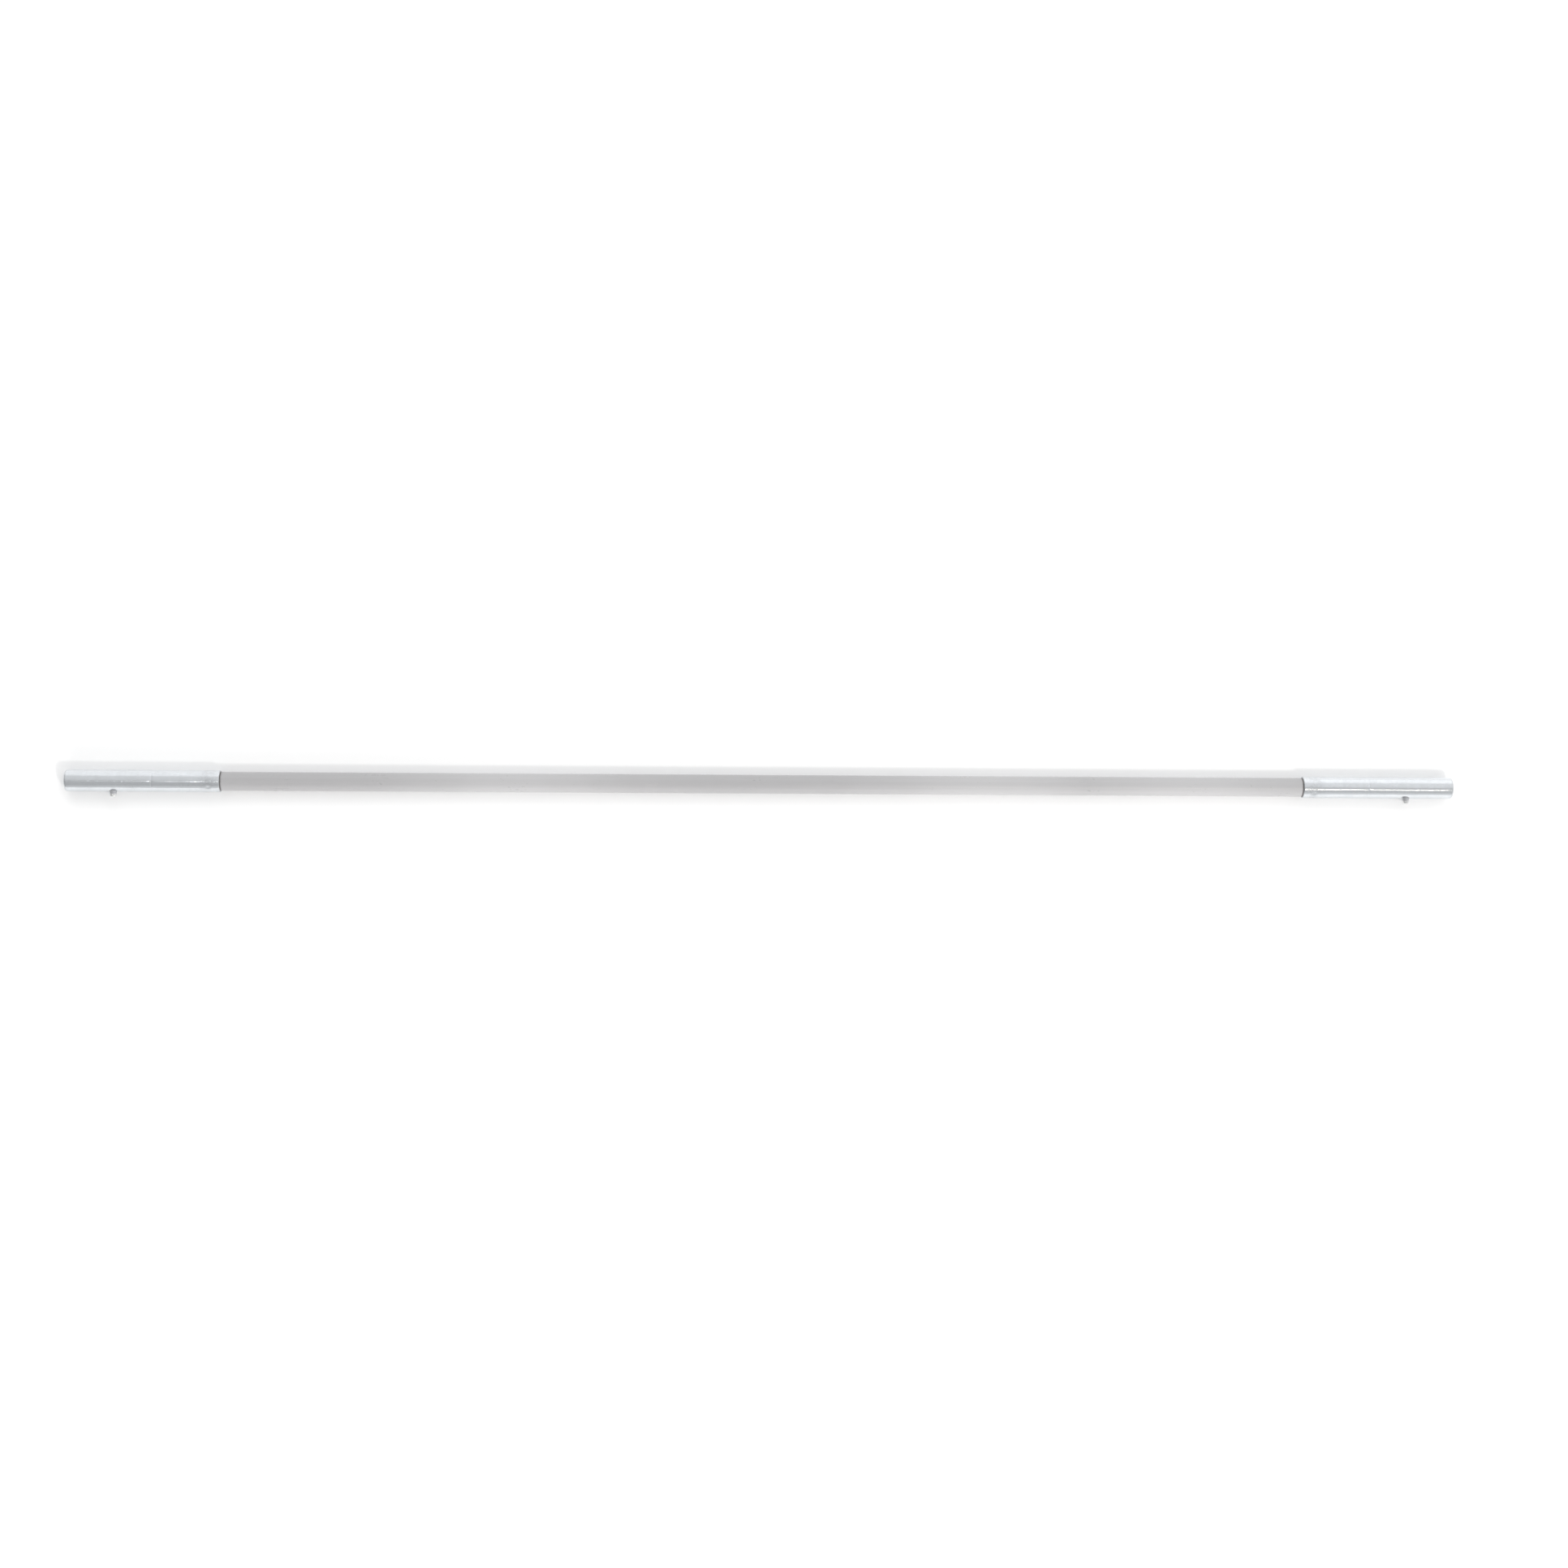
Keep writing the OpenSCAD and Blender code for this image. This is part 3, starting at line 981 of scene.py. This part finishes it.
@dataclass
class Ferrule(Piece):
    """A drawn and plated tube with a rolled-in nose, a stop bead, a crimp ring, dents and a button hole."""

    end: End = End.RIGHT
    wall: float = 1.0 * MM
    nose_round: float = 1.8 * MM
    nose_hole: float = 5.6 * MM
    rim_round: float = 0.15 * MM
    mouth_round: float = 0.7 * MM
    inner_round: float = 0.12 * MM
    bead: Groove = Groove(62 * MM, 0.14 * MM, 1.1 * MM)
    ring: Groove = Groove(81.5 * MM, 0.06 * MM, 0.8 * MM)
    dents: Dents = Dents()
    hole: float = 2.75 * MM
    hole_round: float = 0.22 * MM
    patch: float = 4.5 * MM
    patch_steps: int = 36
    edge_steps: int = 6
    face_steps: int = 10
    face_crowding: float = 1.3
    plain_step: float = 3.0 * MM
    around: int = 192

    def __post_init__(self) -> None:
        """Reads the ferrule's length and radius, and the button's place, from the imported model."""
        low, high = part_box(self.node)
        self.radius = mount(f"{self.end.word}_spigot")["dims"]["r_mm"] * MM
        self.nose = max(abs(low.x), abs(high.x))
        self.mouth = min(abs(low.x), abs(high.x))
        self.button_at = abs(mount(f"{self.end.word}_button_tip")["pos_m"][0])

    @property
    def turns(self) -> np.ndarray:
        """Angles of the wall's lengthwise lines, from the far side round past the button's side."""
        return np.linspace(-np.pi, np.pi, self.around, endpoint=False)

    @property
    def patch_turn(self) -> float:
        """Half the angle of the square that holds the button hole."""
        return np.pi * self.patch_steps / self.around

    def wall_stations(self, start: float, stop: float) -> np.ndarray:
        """Places along a wall, closer together at the dents, the rings and the button hole.

        Args:
            start: The first place, towards the mouth.
            stop: The last place, towards the nose.

        Returns:
            The places, from the first to the last.
        """
        dents, ring, bead = (self.nose - mark.from_end for mark in (self.dents, self.ring, self.bead))
        edges = [start]
        steps = []
        for middle, reach, count in (
            (dents, self.dents.reach, 18),
            (ring, self.ring.reach, 12),
            (bead, self.bead.reach, 14),
            (self.button_at, self.patch, self.patch_steps),
        ):
            plain = middle - reach - edges[-1]
            edges += [middle - reach, middle + reach]
            steps += [max(2, round(plain / self.plain_step)), count]
        return stations(edges + [stop], steps + [10])

    def sunk(self, along: np.ndarray) -> np.ndarray:
        """How far the rolled rings push the wall in, at each place along it.

        Args:
            along: Places along the wall.

        Returns:
            The depth at each place.
        """
        depth = np.zeros_like(along)
        for groove in (self.bead, self.ring):
            depth += groove.depth * smooth_bump(along - (self.nose - groove.from_end), groove.reach)
        return depth

    def profile(self) -> tuple[np.ndarray, slice, slice]:
        """The wall's closed outline: up round the mouth, out to the nose, round its rim and back inside.

        Returns:
            The outline's points (place, radius), its outer stretch and its inner stretch.
        """
        outer_x = self.wall_stations(self.mouth + self.mouth_round, self.nose - self.nose_round)
        inner_x = self.wall_stations(self.mouth + self.inner_round, self.nose - self.nose_round)[::-1]
        inside = self.radius - self.wall
        mouth_centre = (self.mouth + self.mouth_round, self.radius - self.mouth_round)
        nose_centre = (self.nose - self.nose_round, self.radius - self.nose_round)
        rim, lead, tight = self.rim_round, self.inner_round, self.nose_round - self.wall
        parts = [
            arc(mouth_centre, self.mouth_round, 180, 90, 10)[:-1],
            np.stack([outer_x, self.radius - self.sunk(outer_x)], axis=-1),
            arc(nose_centre, self.nose_round, 90, 0, 16)[1:],
            arc((self.nose - rim, self.nose_hole + rim), rim, 0, -90, 5),
            arc((self.nose - self.wall + lead, self.nose_hole + lead), lead, -90, -180, 4),
            arc(nose_centre, tight, 0, 90, 8)[:-1],
            np.stack([inner_x, inside - self.sunk(inner_x)], axis=-1),
            arc((self.mouth + lead, inside + lead), lead, -90, -180, 4)[1:],
        ]
        starts = np.cumsum([0] + [len(part) for part in parts])
        return np.concatenate(parts), slice(starts[1], starts[2]), slice(starts[6], starts[7])

    def wall_sheet(self) -> Sheet:
        """The outline turned about the pole's axis and dented, less the two squares that hold the hole.

        Returns:
            The wall, open at the two squares.
        """
        outline, outer, inner = self.profile()
        along, radius = outline[:, :1], outline[:, 1:]
        turn = self.turns[None, :]
        dented = self.dents.depth_at(along - (self.nose - self.dents.from_end), turn, self.radius)
        on_wall = np.zeros(len(outline), dtype=bool)
        on_wall[outer] = on_wall[inner] = True
        level = radius - np.where(on_wall[:, None], dented, 0.0)
        quads = grid_quads(len(outline), self.around, close_rows=True, close_cols=True)
        middle = (along + np.roll(along, -1, axis=0)).ravel() / 2
        in_patch = (np.abs(middle - self.button_at) < self.patch) & on_wall
        half = self.patch_steps // 2
        column = np.arange(self.around)
        in_sector = (column >= self.around // 2 - half) & (column < self.around // 2 + half)
        keep = ~(in_patch[:, None] & in_sector[None, :]).ravel()
        return Sheet(self.placed(along, level, turn).reshape(-1, 3), quads[keep])

    def placed(self, along: np.ndarray, level: np.ndarray, turn: np.ndarray) -> np.ndarray:
        """Points in space from the place along the pole, the radius, and the angle from the button's side."""
        return round_pole(self.end.value * along, level, turn)

    def hole_sheet(self) -> Sheet:
        """The two squares of wall round the button hole, and the hole's own wall between them.

        Each row of points lies between the hole's circle and the square's rim, by a share that is 1 at
        the rim and 0 at the hole. Just below the outer edge the hole's wall stands back by a quarter
        circle: by r * cos a at a depth of r * (1 - sin a), with a falling from 90 degrees to 0.

        Returns:
            The two squares and the hole's wall, as one sheet.
        """
        rim = square_rim(self.patch, self.patch_turn, self.patch_steps)
        clock = round_angles(4 * self.patch_steps)
        edge = np.radians(np.linspace(90, 0, self.edge_steps + 1))[1:]
        back = self.hole_round * np.cos(edge) / (self.patch - self.hole)
        lip = self.radius - self.hole_round * (1 - np.sin(edge))
        far = np.linspace(1, 0, self.face_steps + 1)[:-1] ** self.face_crowding
        inside = self.radius - self.wall
        outer, inner = np.full(len(far), self.radius), np.full(len(far), inside)
        share = np.concatenate([far, back, [0.0, 0.0], far[::-1]])[:, None]
        level = np.concatenate([outer, lip, [inside + 0.4 * self.wall, inside], inner])[:, None]
        circle_x = self.hole * np.cos(clock)[None, :]
        circle_turn = np.arcsin(self.hole * np.sin(clock)[None, :] / level)
        along = self.button_at + (1 - share) * circle_x + share * rim[None, :, 0]
        turn = (1 - share) * circle_turn + share * rim[None, :, 1]
        return sheet_of(self.placed(along, level, turn), close_cols=True)

    def surface(self) -> Sheet:
        """The wall and the part round its hole, which meet on the square's rim."""
        return joined([self.wall_sheet(), self.hole_sheet()])


@dataclass
class Shaft(Piece):
    """The pole's tube: straight in sight, and pressed in by the ferrules' rings and dents at both ends."""

    bore: float = 5.0 * MM
    lead: float = 0.3 * MM
    film: float = 0.05 * MM
    ferrule_wall: float = 1.0 * MM
    ring: Groove = Groove(81.5 * MM, 0.12 * MM, 0.9 * MM)
    dents: Dents = Dents(depth=0.45 * MM, reach=3.0 * MM)
    around: int = 144

    def __post_init__(self) -> None:
        """Reads the tube's radius and length, and the pole's whole length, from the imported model."""
        self.radius = mount("shaft_grip")["dims"]["r_mm"] * MM
        self.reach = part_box(self.node)[1].x
        self.pole_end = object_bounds()[1][0]

    def half_stations(self) -> np.ndarray:
        """Places from the middle of the pole to the tube's end, closer together under the ferrule.

        Returns:
            The places, from 0 to where the tube's end chamfer begins.
        """
        dents, ring = self.pole_end - self.dents.from_end, self.pole_end - self.ring.from_end
        edges = [0.0, dents - self.dents.reach, dents + self.dents.reach]
        edges += [ring - self.ring.reach, ring + self.ring.reach, self.reach - self.lead]
        return stations(edges, [40, 16, 4, 12, 6])

    def surface(self) -> Sheet:
        """A closed outline, out along the outside and back along the bore, turned about the pole's axis.

        Returns:
            The tube's closed surface.
        """
        half = self.half_stations()
        outer_x = np.concatenate([-half[:0:-1], half])
        inner_x = np.linspace(self.reach, -self.reach, 41)
        from_ring = np.abs(outer_x) - (self.pole_end - self.ring.from_end)
        sunk = self.ring.depth * smooth_bump(from_ring, self.ring.reach)
        outer = np.stack([outer_x, self.radius - sunk], axis=-1)
        inner = np.stack([inner_x, np.full_like(inner_x, self.bore)], axis=-1)
        ends = np.array([[self.reach, self.radius - self.lead], [-self.reach, self.radius - self.lead]])
        outline = np.concatenate([outer, ends[:1], inner, ends[1:]])
        turn = round_angles(self.around)[None, :]
        along, radius = outline[:, :1], outline[:, 1:]
        from_dents = np.abs(along) - (self.pole_end - self.dents.from_end)
        dented = self.dents.depth_at(from_dents, turn, self.radius)
        level = radius - np.where(radius > (self.radius + self.bore) / 2, dented, 0.0)
        return sheet_of(round_pole(along, level, turn), close_rows=True, close_cols=True)


@dataclass
class SnapButton(Piece):
    """A turned button: staked foot, shank, flange, guide, tip and dome, each corner slightly rounded."""

    end: End = End.RIGHT
    flange: float = 0.75 * MM
    shank: float = 1.3 * MM
    foot: float = 1.9 * MM
    foot_height: float = 0.6 * MM
    strip_room: float = 0.56 * MM
    guide: float = 2.65 * MM
    dome_height: float = 1.4 * MM
    corner: float = 0.12 * MM
    around: int = 128

    def __post_init__(self) -> None:
        """Reads the button's heights and widths from its box and its mount."""
        low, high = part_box(self.node)
        tip = mount(f"{self.end.word}_button_tip")
        self.middle = (low.x + high.x) / 2
        self.flange_radius = (high.x - low.x) / 2
        self.top, self.bottom = -low.y, -high.y
        self.tip = tip["dims"]["r_mm"] * MM
        self.guide_top = -tip["pos_m"][1] - tip["dims"]["length_mm"] * MM / 2

    def profile(self) -> np.ndarray:
        """The button's outline (height, radius), from the middle of its foot to the top of its dome.

        Returns:
            The outline's points (height, radius).
        """
        neck = self.bottom + self.foot_height
        flange_low = neck + self.strip_room
        flange_top = flange_low + self.flange
        shoulder = self.top - self.dome_height
        round_off = self.corner
        corners = [
            (self.bottom, 0.0, 0.0),
            (self.bottom, self.foot, 2 * round_off),
            (neck, self.foot, round_off),
            (neck, self.shank, round_off / 2),
            (flange_low, self.shank, round_off / 2),
            (flange_low, self.flange_radius, round_off),
            (flange_top, self.flange_radius, round_off),
            (flange_top, self.guide, round_off / 2),
            (self.guide_top, self.guide, round_off),
            (self.guide_top, self.tip, round_off / 2),
        ]
        dome_radius = (self.tip**2 + self.dome_height**2) / (2 * self.dome_height)
        edge = np.degrees(np.arctan2(self.tip, dome_radius - self.dome_height))
        dome = arc((self.top - dome_radius, 0.0), dome_radius, edge, 0, 18)
        return np.concatenate([filleted(corners), [[shoulder, self.tip]], dome])

    def surface(self) -> Sheet:
        """The outline turned about the button's own axis."""
        return revolved(self.profile(), self.around, "-y", self.middle)


@dataclass
class SpringClip(Piece):
    """A bent strip: a fixed leg on the far wall, a bend, a sloping leg, a knee and a flat pad with a hole."""

    end: End = End.RIGHT
    thickness: float = 0.5 * MM
    bend: float = 1.95 * MM
    knee: float = 3.0 * MM
    knee_back: float = 6.0 * MM
    slope_deg: float = 22.0
    hole: float = 1.4 * MM
    bend_steps: int = 28
    knee_steps: int = 8
    side_steps: int = 16

    def __post_init__(self) -> None:
        """Reads the strip's width, its reach and the heights of both its legs from its box."""
        low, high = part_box(self.node)
        self.button_x = abs(mount(f"{self.end.word}_button_tip")["pos_m"][0])
        self.half_width = high.z
        self.leg_end = max(abs(low.x), abs(high.x)) - self.button_x
        self.pad = -low.y - self.thickness / 2
        self.fixed = -high.y + self.thickness / 2

    def path(self) -> tuple[np.ndarray, np.ndarray]:
        """The strip's middle line, seen from its edge: from the fixed leg's tip round to the pad's tip.

        The fixed leg and the pad are straight and parallel. The bend is an arc from the fixed leg to
        the slope, and the knee an arc from the slope to the pad. Places are measured from the button's
        axis, and heights from the pole's axis towards the button.

        Returns:
            The points (place, height), and the direction in which each one's outer side faces.
        """
        steep = np.radians(self.slope_deg)
        bend_height = self.fixed + self.bend
        knee_height = self.pad - self.knee
        run = (knee_height - bend_height + (self.knee - self.bend) * np.cos(steep)) / np.sin(steep)
        bend_x = -self.knee_back - (self.knee - self.bend) * np.sin(steep) - run * np.cos(steep)
        slope_at = 90 + self.slope_deg
        round_x = self.leg_end - self.half_width
        cap = self.cap_stations()
        flat = np.linspace(round_x, bend_x, 15)[:-1]
        leg_x = np.concatenate([cap[::-1], flat[1:]])
        bend_line = arc((bend_x, bend_height), self.bend, 270, slope_at, self.bend_steps)
        knee_line = arc((-self.knee_back, knee_height), self.knee, slope_at, 90, self.knee_steps)
        slope_line = np.linspace(bend_line[-1], knee_line[0], 13)[1:-1]
        before = np.linspace(-self.knee_back, -self.half_width, 5)[1:-1]
        across = np.linspace(-self.half_width, self.half_width, self.side_steps + 1)
        pad_x = np.concatenate([before, across, cap[1:]])
        leg = np.stack([leg_x, np.full_like(leg_x, self.fixed)], axis=-1)
        pad = np.stack([pad_x, np.full_like(pad_x, self.pad)], axis=-1)
        angles = np.concatenate(
            [
                np.full(len(leg), 270.0),
                np.linspace(270, slope_at, self.bend_steps + 1),
                np.full(len(slope_line), slope_at),
                np.linspace(slope_at, 90, self.knee_steps + 1),
                np.full(len(pad), 90.0),
            ]
        )
        return np.concatenate([leg, bend_line, slope_line, knee_line, pad]), np.radians(angles)

    def cap_stations(self) -> np.ndarray:
        """Places along a leg's half-round end, closer together towards its tip."""
        quarter = np.radians(np.linspace(0, 90, 10))
        return self.leg_end - self.half_width + self.half_width * np.sin(quarter)

    def half_width_at(self, place: np.ndarray) -> np.ndarray:
        """Half the strip's width: full, then falling as a half circle towards each tip."""
        past = np.clip(place - (self.leg_end - self.half_width), 0, self.half_width)
        return np.sqrt(np.maximum(self.half_width**2 - past**2, 0))

    def placed(self, place: np.ndarray, height: np.ndarray, aside: np.ndarray) -> np.ndarray:
        """Points in space from the place along the pole, the height towards the button, and the side."""
        x = self.end.value * (self.button_x + place)
        return np.stack(np.broadcast_arrays(x, -height, aside), axis=-1)

    def faces_sheet(self) -> Sheet:
        """The strip's two faces and its two edges, carried along the path, less the squares at the hole.

        Each point of the path carries a closed ring: across the outer face, and back across the inner.

        Returns:
            The strip, open at the pad's two squares.
        """
        line, facing = self.path()
        across = np.linspace(-1, 1, self.side_steps + 1)
        ring = np.concatenate([across, across[::-1]])
        offset = np.repeat([0.5, -0.5], len(across)) * self.thickness
        place = line[:, :1] + offset * np.cos(facing)[:, None]
        height = line[:, 1:] + offset * np.sin(facing)[:, None]
        aside = ring * self.half_width_at(line[:, 0])[:, None]
        quads = grid_quads(len(line), len(ring), close_cols=True)
        middle = (line[:-1, 0] + line[1:, 0]) / 2
        in_pad = (np.abs(middle) < self.half_width) & (line[:-1, 1] > 0) & (facing[:-1] < np.radians(91))
        column = np.arange(len(ring))
        on_face = (column % len(across)) < self.side_steps
        keep = ~(in_pad[:, None] & on_face[None, :]).ravel()
        return Sheet(self.placed(place, height, aside).reshape(-1, 3), quads[keep])

    def hole_sheet(self) -> Sheet:
        """The pad's squares round the hole: in from the rim, through the strip, and out again.

        Returns:
            The two squares and the hole's wall, as one sheet.
        """
        rim = square_rim(self.half_width, self.half_width, self.side_steps)
        clock = round_angles(4 * self.side_steps)
        circle = self.hole * np.stack([np.cos(clock), np.sin(clock)], axis=-1)
        share = np.concatenate([np.linspace(1, 0, 6), np.linspace(0, 1, 6)])[:, None, None]
        level = self.pad + np.repeat([0.5, -0.5], 6)[:, None] * self.thickness
        spot = (1 - share) * circle + share * rim
        return sheet_of(self.placed(spot[..., 0], level + 0 * spot[..., 0], spot[..., 1]), close_cols=True)

    def surface(self) -> Sheet:
        """The strip with its hole; its tips close because their width falls to nothing."""
        return joined([self.faces_sheet(), self.hole_sheet()])

    def seat(self, made: bpy.types.Object) -> None:
        """Bakes the clip's place into its mesh and leaves it on no body.

        Args:
            made: The clip's object.
        """
        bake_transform(made)
        LOG.info("%s bends between %s and %s", made.name, root_body(), self.body)


@dataclass
class EndPlug(Piece):
    """A dowel that closes the tube: a plain cylinder with chamfered ends and a shallow centre mark."""

    chamfer: float = 0.8 * MM
    corner: float = 0.15 * MM
    mark: float = 1.2 * MM
    mark_depth: float = 0.5 * MM
    around: int = 96

    def surface(self) -> Sheet:
        """The dowel's outline turned about the pole's axis.

        Returns:
            The dowel's closed surface.
        """
        low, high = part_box(self.node)
        radius = high.z
        corners = [
            (low.x + self.mark_depth, 0.0, 0.0),
            (low.x, self.mark, self.corner),
            (low.x, radius - self.chamfer, self.corner),
            (low.x + self.chamfer, radius, self.corner),
            (high.x - self.chamfer, radius, self.corner),
            (high.x, radius - self.chamfer, self.corner),
            (high.x, self.mark, self.corner),
            (high.x - self.mark_depth, 0.0, 0.0),
        ]
        return revolved(filleted(corners), self.around, "x")


# ---------------------------------------------------------------------------------------------
# Floor, light and camera
# ---------------------------------------------------------------------------------------------


@dataclass(frozen=True)
class Lamp:
    """A rectangular lamp that looks at the middle of the pole.

    Its direction is given by its lean from straight up, and by the way it leans: 0 degrees is towards
    -Y, and 90 degrees is towards +X.
    """

    name: str
    lean_deg: float
    way_deg: float
    distance: float
    size: tuple[float, float]
    watts: float
    colour: tuple[float, float, float] = (1.0, 1.0, 1.0)
    mirrored: bool = True
    turn_deg: float = 0.0

    def add(self) -> None:
        """Makes the lamp; one that isn't mirrored lights the pole but isn't seen in its gloss."""
        lean, way = np.radians(self.lean_deg), np.radians(self.way_deg)
        out = Vector((np.sin(lean) * np.sin(way), -np.sin(lean) * np.cos(way), np.cos(lean)))
        data = bpy.data.lights.new(self.name, "AREA")
        data.shape = "RECTANGLE"
        data.size, data.size_y = self.size
        data.energy = self.watts
        data.color = self.colour
        made = bpy.data.objects.new(self.name, data)
        made.location = self.distance * out
        upward = out.cross(Vector((1.0, 0.0, 0.0))).normalized()
        side = upward.cross(out).normalized()
        facing = Matrix((side, upward, out)).transposed()
        made.rotation_euler = (facing @ Matrix.Rotation(np.radians(self.turn_deg), 3, "Z")).to_euler()
        made.visible_glossy = self.mirrored
        bpy.context.scene.collection.objects.link(made)
        LOG.info("lamp %s: %.1f W at %s", self.name, self.watts, tuple(round(c, 3) for c in made.location))


@dataclass(frozen=True)
class Studio:
    """A plain pale floor under a soft dome of light, with the camera above the pole.

    Each of the dome's stops is a direction and its light: 1 is towards -Y and -1 is towards +Y.
    """

    floor_half: float = 3.0
    lens_mm: float = 54.97
    sensor_mm: float = 36.0
    target: tuple[float, float, float] = (0.0129, 0.0003, 0.0)
    distance: float = 1.728
    lean_deg: float = 9.004
    swing_deg: float = -2.277
    turn_deg: float = -0.029
    dome: tuple[tuple[float, float], ...] = (
        (-1.0, 1.2),
        (-0.72, 1.14),
        (-0.60, 0.89),
        (-0.3, 0.83),
        (0.05, 0.79),
        (0.16, 0.60),
        (0.84, 0.57),
        (0.93, 0.76),
        (1.0, 0.78),
    )
    dome_slant: float = 0.3
    dome_tint: float = 0.005
    horizon: float = 0.1
    lamps: tuple[Lamp, ...] = (
        Lamp("key", 40.0, 30.0, 2.6, (0.2, 0.2), 14.0, (1.0, 0.985, 0.96), mirrored=False),
        Lamp("soft back", 46.0, 180.0, 2.2, (2.2, 1.4), 12.0, (0.98, 0.99, 1.0), mirrored=False),
        Lamp("soft front", 70.0, 15.0, 2.2, (3.0, 1.2), 31.0, (1.0, 0.995, 1.0), mirrored=False),
        Lamp("line left", 26.4, -53.5, 1.9, (0.22, 0.035), 0.25, (0.98, 0.99, 1.0), turn_deg=-11.0),
        Lamp("line right", 36.0, 35.0, 1.9, (0.9, 0.02), 1.6, (1.0, 0.95, 0.85), turn_deg=-11.0),
    )

    def add_floor(self, level: float) -> None:
        """A square floor, evenly divided, at the height of the object's lowest point.

        Args:
            level: The floor's height.
        """
        line = np.linspace(-self.floor_half, self.floor_half, 25)
        x, y = np.meshgrid(line, line, indexing="ij")
        floor = made_object("floor", sheet_of(np.stack([x, y, np.full_like(x, level)], axis=-1)), 30.0)
        floor.data.materials.append(PaleFloor().material())
        floor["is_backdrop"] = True

    def add_dome(self) -> None:
        """A world lit by its direction along Y, a little by X, with a white backdrop below its horizon."""
        world = bpy.data.worlds.new("soft dome")
        world.use_nodes = True
        world.node_tree.nodes.clear()
        graph = Graph(world.node_tree)
        direction = graph.node("ShaderNodeTexCoord").outputs["Generated"]
        parts = graph.node("ShaderNodeSeparateXYZ", {0: direction})
        place = graph.math("MULTIPLY_ADD", parts.outputs["Y"], -0.5, 0.5)
        slant = graph.math("MULTIPLY_ADD", parts.outputs["X"], self.dome_slant, 1.0)
        ramp = graph.node("ShaderNodeValToRGB", {"Fac": place})
        stops = ramp.color_ramp.elements
        stops.remove(stops[1])
        for number, (towards, level) in enumerate(self.dome):
            spot = (towards + 1) / 2
            stop = stops[0] if number == 0 else stops.new(spot)
            stop.position = spot
            stop.color = (level * (1 - self.dome_tint), level, level * (1 + self.dome_tint), 1.0)
        above = graph.ramp(parts.outputs["Z"], 0.0, self.horizon)
        colour = graph.mix(above, (1.0, 1.0, 1.0, 1.0), ramp.outputs["Color"])
        strength = graph.math("MULTIPLY_ADD", graph.math("SUBTRACT", slant, 1.0), above, 1.0)
        light = graph.node("ShaderNodeBackground", {"Color": colour, "Strength": strength})
        graph.node("ShaderNodeOutputWorld", {"Surface": light.outputs["Background"]})
        bpy.context.scene.world = world

    def add_camera(self) -> None:
        """The camera: it leans a little towards the far side of the pole, and swings towards its middle."""
        data = bpy.data.cameras.new("camera")
        data.lens, data.sensor_width = self.lens_mm, self.sensor_mm
        data.clip_start, data.clip_end = 0.01, 50.0
        camera = bpy.data.objects.new("camera", data)
        turn = Euler(np.radians([self.lean_deg, self.swing_deg, self.turn_deg]), "XYZ")
        look = turn.to_matrix() @ Vector((0.0, 0.0, -1.0))
        camera.location = Vector(self.target) - self.distance * look
        camera.rotation_euler = turn
        bpy.context.scene.collection.objects.link(camera)
        bpy.context.scene.camera = camera

    def add(self, level: float) -> None:
        """Puts up the whole studio, with its floor at the given height.

        Args:
            level: The floor's height.
        """
        self.add_floor(level)
        self.add_dome()
        for lamp in self.lamps:
            lamp.add()
        self.add_camera()
        bpy.context.scene.view_settings.view_transform = "Standard"


def main() -> None:
    """Builds the pole, end by end, then the studio."""
    logging.basicConfig(level=logging.INFO, format="%(name)s: %(message)s")
    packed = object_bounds()
    Shaft("shaft", SatinCoat(), "shaft_coat", root_body()).add()
    for end in End:
        word, catch = end.word, child_body(end.word)
        Ferrule(f"{word}_ferrule", PlatedSteel(), "zinc_plate", root_body(), end=end).add()
        EndPlug(f"{word}_end_plug", MouldedNylon(), "plug_nylon", root_body()).add()
        SpringClip(f"{word}_spring_clip", SpringSteel(), "spring_steel", catch, end=end).add()
        SnapButton(f"{word}_button", NickelPlate(), "button_plate", catch, end=end).add()
    Studio().add(packed[0][2])


if __name__ == "__main__":
    main()
